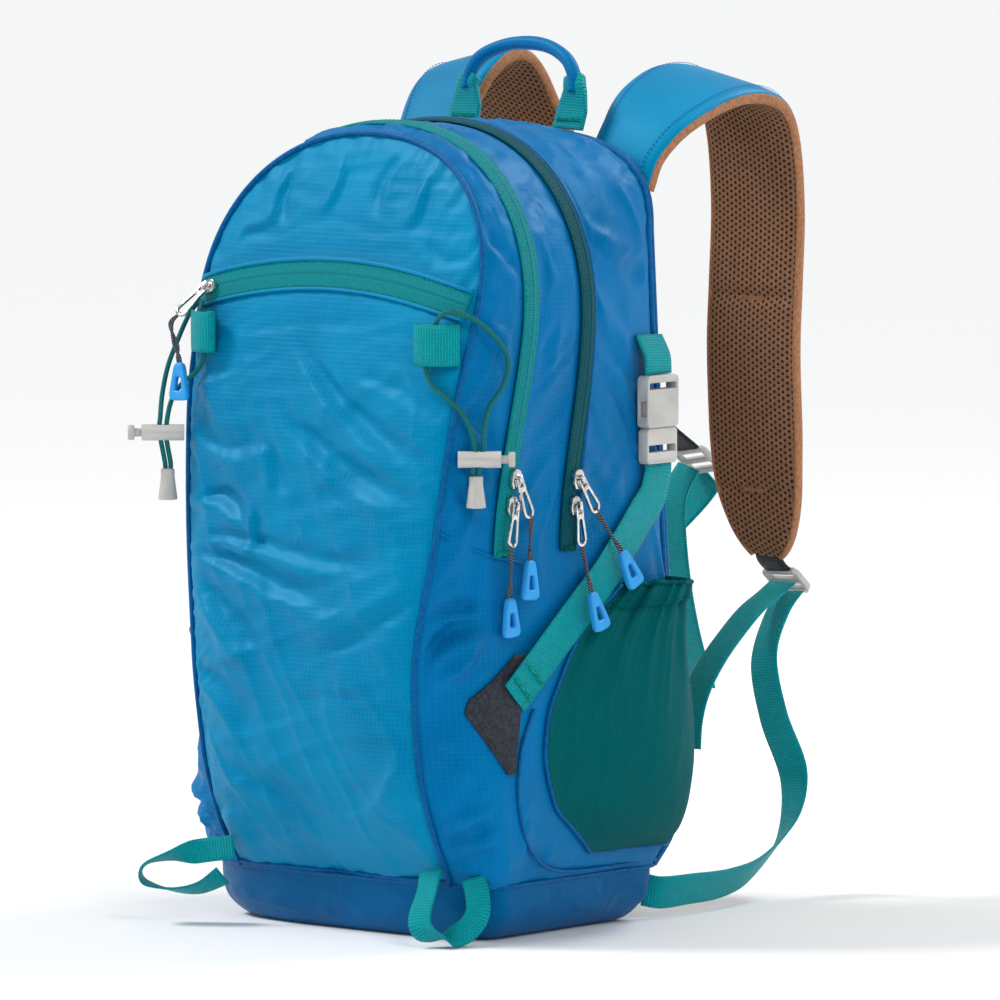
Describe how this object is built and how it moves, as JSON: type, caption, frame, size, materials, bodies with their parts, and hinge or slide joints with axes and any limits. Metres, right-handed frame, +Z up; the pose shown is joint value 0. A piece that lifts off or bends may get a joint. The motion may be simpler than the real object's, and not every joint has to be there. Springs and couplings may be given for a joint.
{
  "type": "daypack",
  "caption": "Arch-topped hiking daypack with zipped compartments, stretch side pockets, padded shoulder straps, compression straps and elastic cord attachments",
  "frame": {"origin": "centre of the flat base the pack stands on", "axes": "+Z up, -Y out of the front panel, +Y out of the back panel towards the wearer, +X to the wearer's right"},
  "size_m": [0.3186, 0.4718, 0.5402],
  "materials": {
    "air_mesh": "mesh",
    "base_fabric": "matte",
    "blue_rubber": "moulded",
    "dark_fabric": "matte",
    "elastic_cord": "braided",
    "frame_plastic": "smooth",
    "front_fabric": "matte",
    "grey_plastic": "moulded",
    "nickel": "polished",
    "side_fabric": "matte",
    "stretch_fabric": "knit",
    "tab_webbing": "woven",
    "webbing": "woven",
    "zip_tape": "woven"
  },
  "bodies": {
    "bag": {"main_compartment": "side_fabric", "front_compartment": "side_fabric", "front_pocket": "front_fabric", "base_panel": "base_fabric", "back_panel": "air_mesh", "frame_sheet": "frame_plastic", "side_pocket_right": "stretch_fabric", "side_pocket_left": "stretch_fabric", "main_zip_tape": "zip_tape", "front_zip_tape": "zip_tape", "pocket_zip_tape": "zip_tape", "compression_strap_right": "webbing", "compression_strap_left": "webbing", "buckle_web_right": "webbing", "buckle_web_left": "webbing", "buckle_socket_right": "grey_plastic", "buckle_socket_left": "grey_plastic", "anchor_patches": "dark_fabric", "anchor_web_right": "webbing", "anchor_web_left": "webbing", "gear_loop_right": "webbing", "gear_loop_left": "webbing", "bungee_keeper_right": "webbing", "bungee_keeper_left": "webbing"},
    "haul_handle": {"handle_grip": "side_fabric", "handle_tabs": "webbing"},
    "shoulder_strap_right": {"strap_pad_right": "air_mesh", "strap_tab_right": "tab_webbing"},
    "strap_adjuster_right": {"ladder_lock_right": "grey_plastic", "web_tail_right": "webbing"},
    "plug_right": {"buckle_plug_right": "grey_plastic"},
    "bungee_right": {"bungee_cord_right": "elastic_cord", "cord_lock_right": "grey_plastic", "cord_end_right": "grey_plastic"},
    "button_right": {"lock_button_right": "grey_plastic"},
    "shoulder_strap_left": {"strap_pad_left": "air_mesh", "strap_tab_left": "tab_webbing"},
    "strap_adjuster_left": {"ladder_lock_left": "grey_plastic", "web_tail_left": "webbing"},
    "plug_left": {"buckle_plug_left": "grey_plastic"},
    "bungee_left": {"bungee_cord_left": "elastic_cord", "cord_lock_left": "grey_plastic", "cord_end_left": "grey_plastic"},
    "button_left": {"lock_button_left": "grey_plastic"},
    "front_slider_upper": {"front_slider_upper": "nickel"},
    "front_puller_upper": {"front_puller_upper": "nickel", "front_grip_upper": "blue_rubber"},
    "front_slider_lower": {"front_slider_lower": "nickel"},
    "front_puller_lower": {"front_puller_lower": "nickel", "front_grip_lower": "blue_rubber"},
    "main_slider_upper": {"main_slider_upper": "nickel"},
    "main_puller_upper": {"main_puller_upper": "nickel", "main_grip_upper": "blue_rubber"},
    "main_slider_lower": {"main_slider_lower": "nickel"},
    "main_puller_lower": {"main_puller_lower": "nickel", "main_grip_lower": "blue_rubber"},
    "pocket_slider": {"pocket_slider": "nickel"},
    "pocket_puller": {"pocket_puller": "nickel", "pocket_grip": "blue_rubber"}
  },
  "joints": [
    {"name": "handle_fold", "type": "hinge", "parent": "bag", "child": "haul_handle", "pos_m": [0, 0.093, 0.4845], "axis": [1, 0, 0], "range_deg": [-25, 60]},
    {"name": "strap_swing_right", "type": "hinge", "parent": "bag", "child": "shoulder_strap_right", "pos_m": [0.082, 0.105, 0.45], "axis": [1, 0, 0], "range_deg": [-8, 8], "deforming": ["anchor_web_right"]},
    {"name": "strap_swing_left", "type": "hinge", "parent": "bag", "child": "shoulder_strap_left", "pos_m": [-0.082, 0.105, 0.45], "axis": [1, 0, 0], "range_deg": [-12, 12], "deforming": ["anchor_web_left"]},
    {"name": "adjuster_tilt_right", "type": "hinge", "parent": "shoulder_strap_right", "child": "strap_adjuster_right", "pos_m": [0.085, 0.25, 0.203], "axis": [1, 0, 0], "range_deg": [-4, 12]},
    {"name": "adjuster_tilt_left", "type": "hinge", "parent": "shoulder_strap_left", "child": "strap_adjuster_left", "pos_m": [-0.04, 0.316, 0.268], "axis": [1, 0, 0], "range_deg": [-12, 0]},
    {"name": "front_slide_upper", "type": "slide", "parent": "bag", "child": "front_slider_upper", "axis": [0.0211, 0.1689, 0.9854], "range_m": [0, 0.08]},
    {"name": "front_slide_lower", "type": "slide", "parent": "bag", "child": "front_slider_lower", "axis": [0.0211, 0.1689, 0.9854], "range_m": [-0.01, 0.002]},
    {"name": "main_slide_upper", "type": "slide", "parent": "bag", "child": "main_slider_upper", "axis": [-0.0171, 0.1679, 0.9857], "range_m": [0, 0.08]},
    {"name": "main_slide_lower", "type": "slide", "parent": "bag", "child": "main_slider_lower", "axis": [-0.0288, 0.1679, 0.9854], "range_m": [-0.009, 0.002]},
    {"name": "pocket_slide", "type": "hinge", "parent": "bag", "child": "pocket_slider", "pos_m": [0, -0.03013, 0.03474], "axis": [0, 0.9894, 0.1451], "range_deg": [0, 28]},
    {"name": "front_upper_puller_swing", "type": "hinge", "parent": "front_slider_upper", "child": "front_puller_upper", "pos_m": [0.12361, -0.05309, 0.282], "axis": [0, -0.9515, -0.3077], "range_deg": [0, 70]},
    {"name": "front_lower_puller_swing", "type": "hinge", "parent": "front_slider_lower", "child": "front_puller_lower", "pos_m": [0.12327, -0.05583, 0.266], "axis": [0, -0.9808, 0.1951], "range_deg": [0, 70]},
    {"name": "main_upper_puller_swing", "type": "hinge", "parent": "main_slider_upper", "child": "main_puller_upper", "pos_m": [0.13, -0.00165, 0.279], "axis": [0, -0.8216, -0.5701], "range_deg": [0, 70]},
    {"name": "main_lower_puller_swing", "type": "hinge", "parent": "main_slider_lower", "child": "main_puller_lower", "pos_m": [0.13027, -0.00438, 0.263], "axis": [0, -0.991, -0.1339], "range_deg": [0, 70]},
    {"name": "pocket_puller_swing", "type": "hinge", "parent": "pocket_slider", "child": "pocket_puller", "pos_m": [-0.09607, -0.08785, 0.39126], "axis": [-0.8606, 0.1552, 0.485], "range_deg": [0, 70]},
    {"name": "buckle_release_right", "type": "slide", "parent": "bag", "child": "plug_right", "axis": [0, 0, -1], "range_m": [0, 0.02], "deforming": ["compression_strap_right"]},
    {"name": "buckle_release_left", "type": "slide", "parent": "bag", "child": "plug_left", "axis": [0, 0, -1], "range_m": [0, 0.02], "deforming": ["compression_strap_left"]},
    {"name": "bungee_swing_right", "type": "hinge", "parent": "bag", "child": "bungee_right", "pos_m": [0.09, -0.097, 0.3635], "axis": [-1, 0, 0], "range_deg": [-1.5, 30], "deforming": ["bungee_cord_right"]},
    {"name": "lock_button_press_right", "type": "slide", "parent": "bungee_right", "child": "button_right", "axis": [-0.7659, -0.6429, 0], "range_m": [0, 0.004], "stiffness_N_per_m": 200},
    {"name": "bungee_swing_left", "type": "hinge", "parent": "bag", "child": "bungee_left", "pos_m": [-0.09, -0.097, 0.3635], "axis": [-1, 0, 0], "range_deg": [-1.5, 30], "deforming": ["bungee_cord_left"]},
    {"name": "lock_button_press_left", "type": "slide", "parent": "bungee_left", "child": "button_left", "axis": [0.7659, 0.6429, 0], "range_m": [0, 0.004], "stiffness_N_per_m": 200}
  ]
}
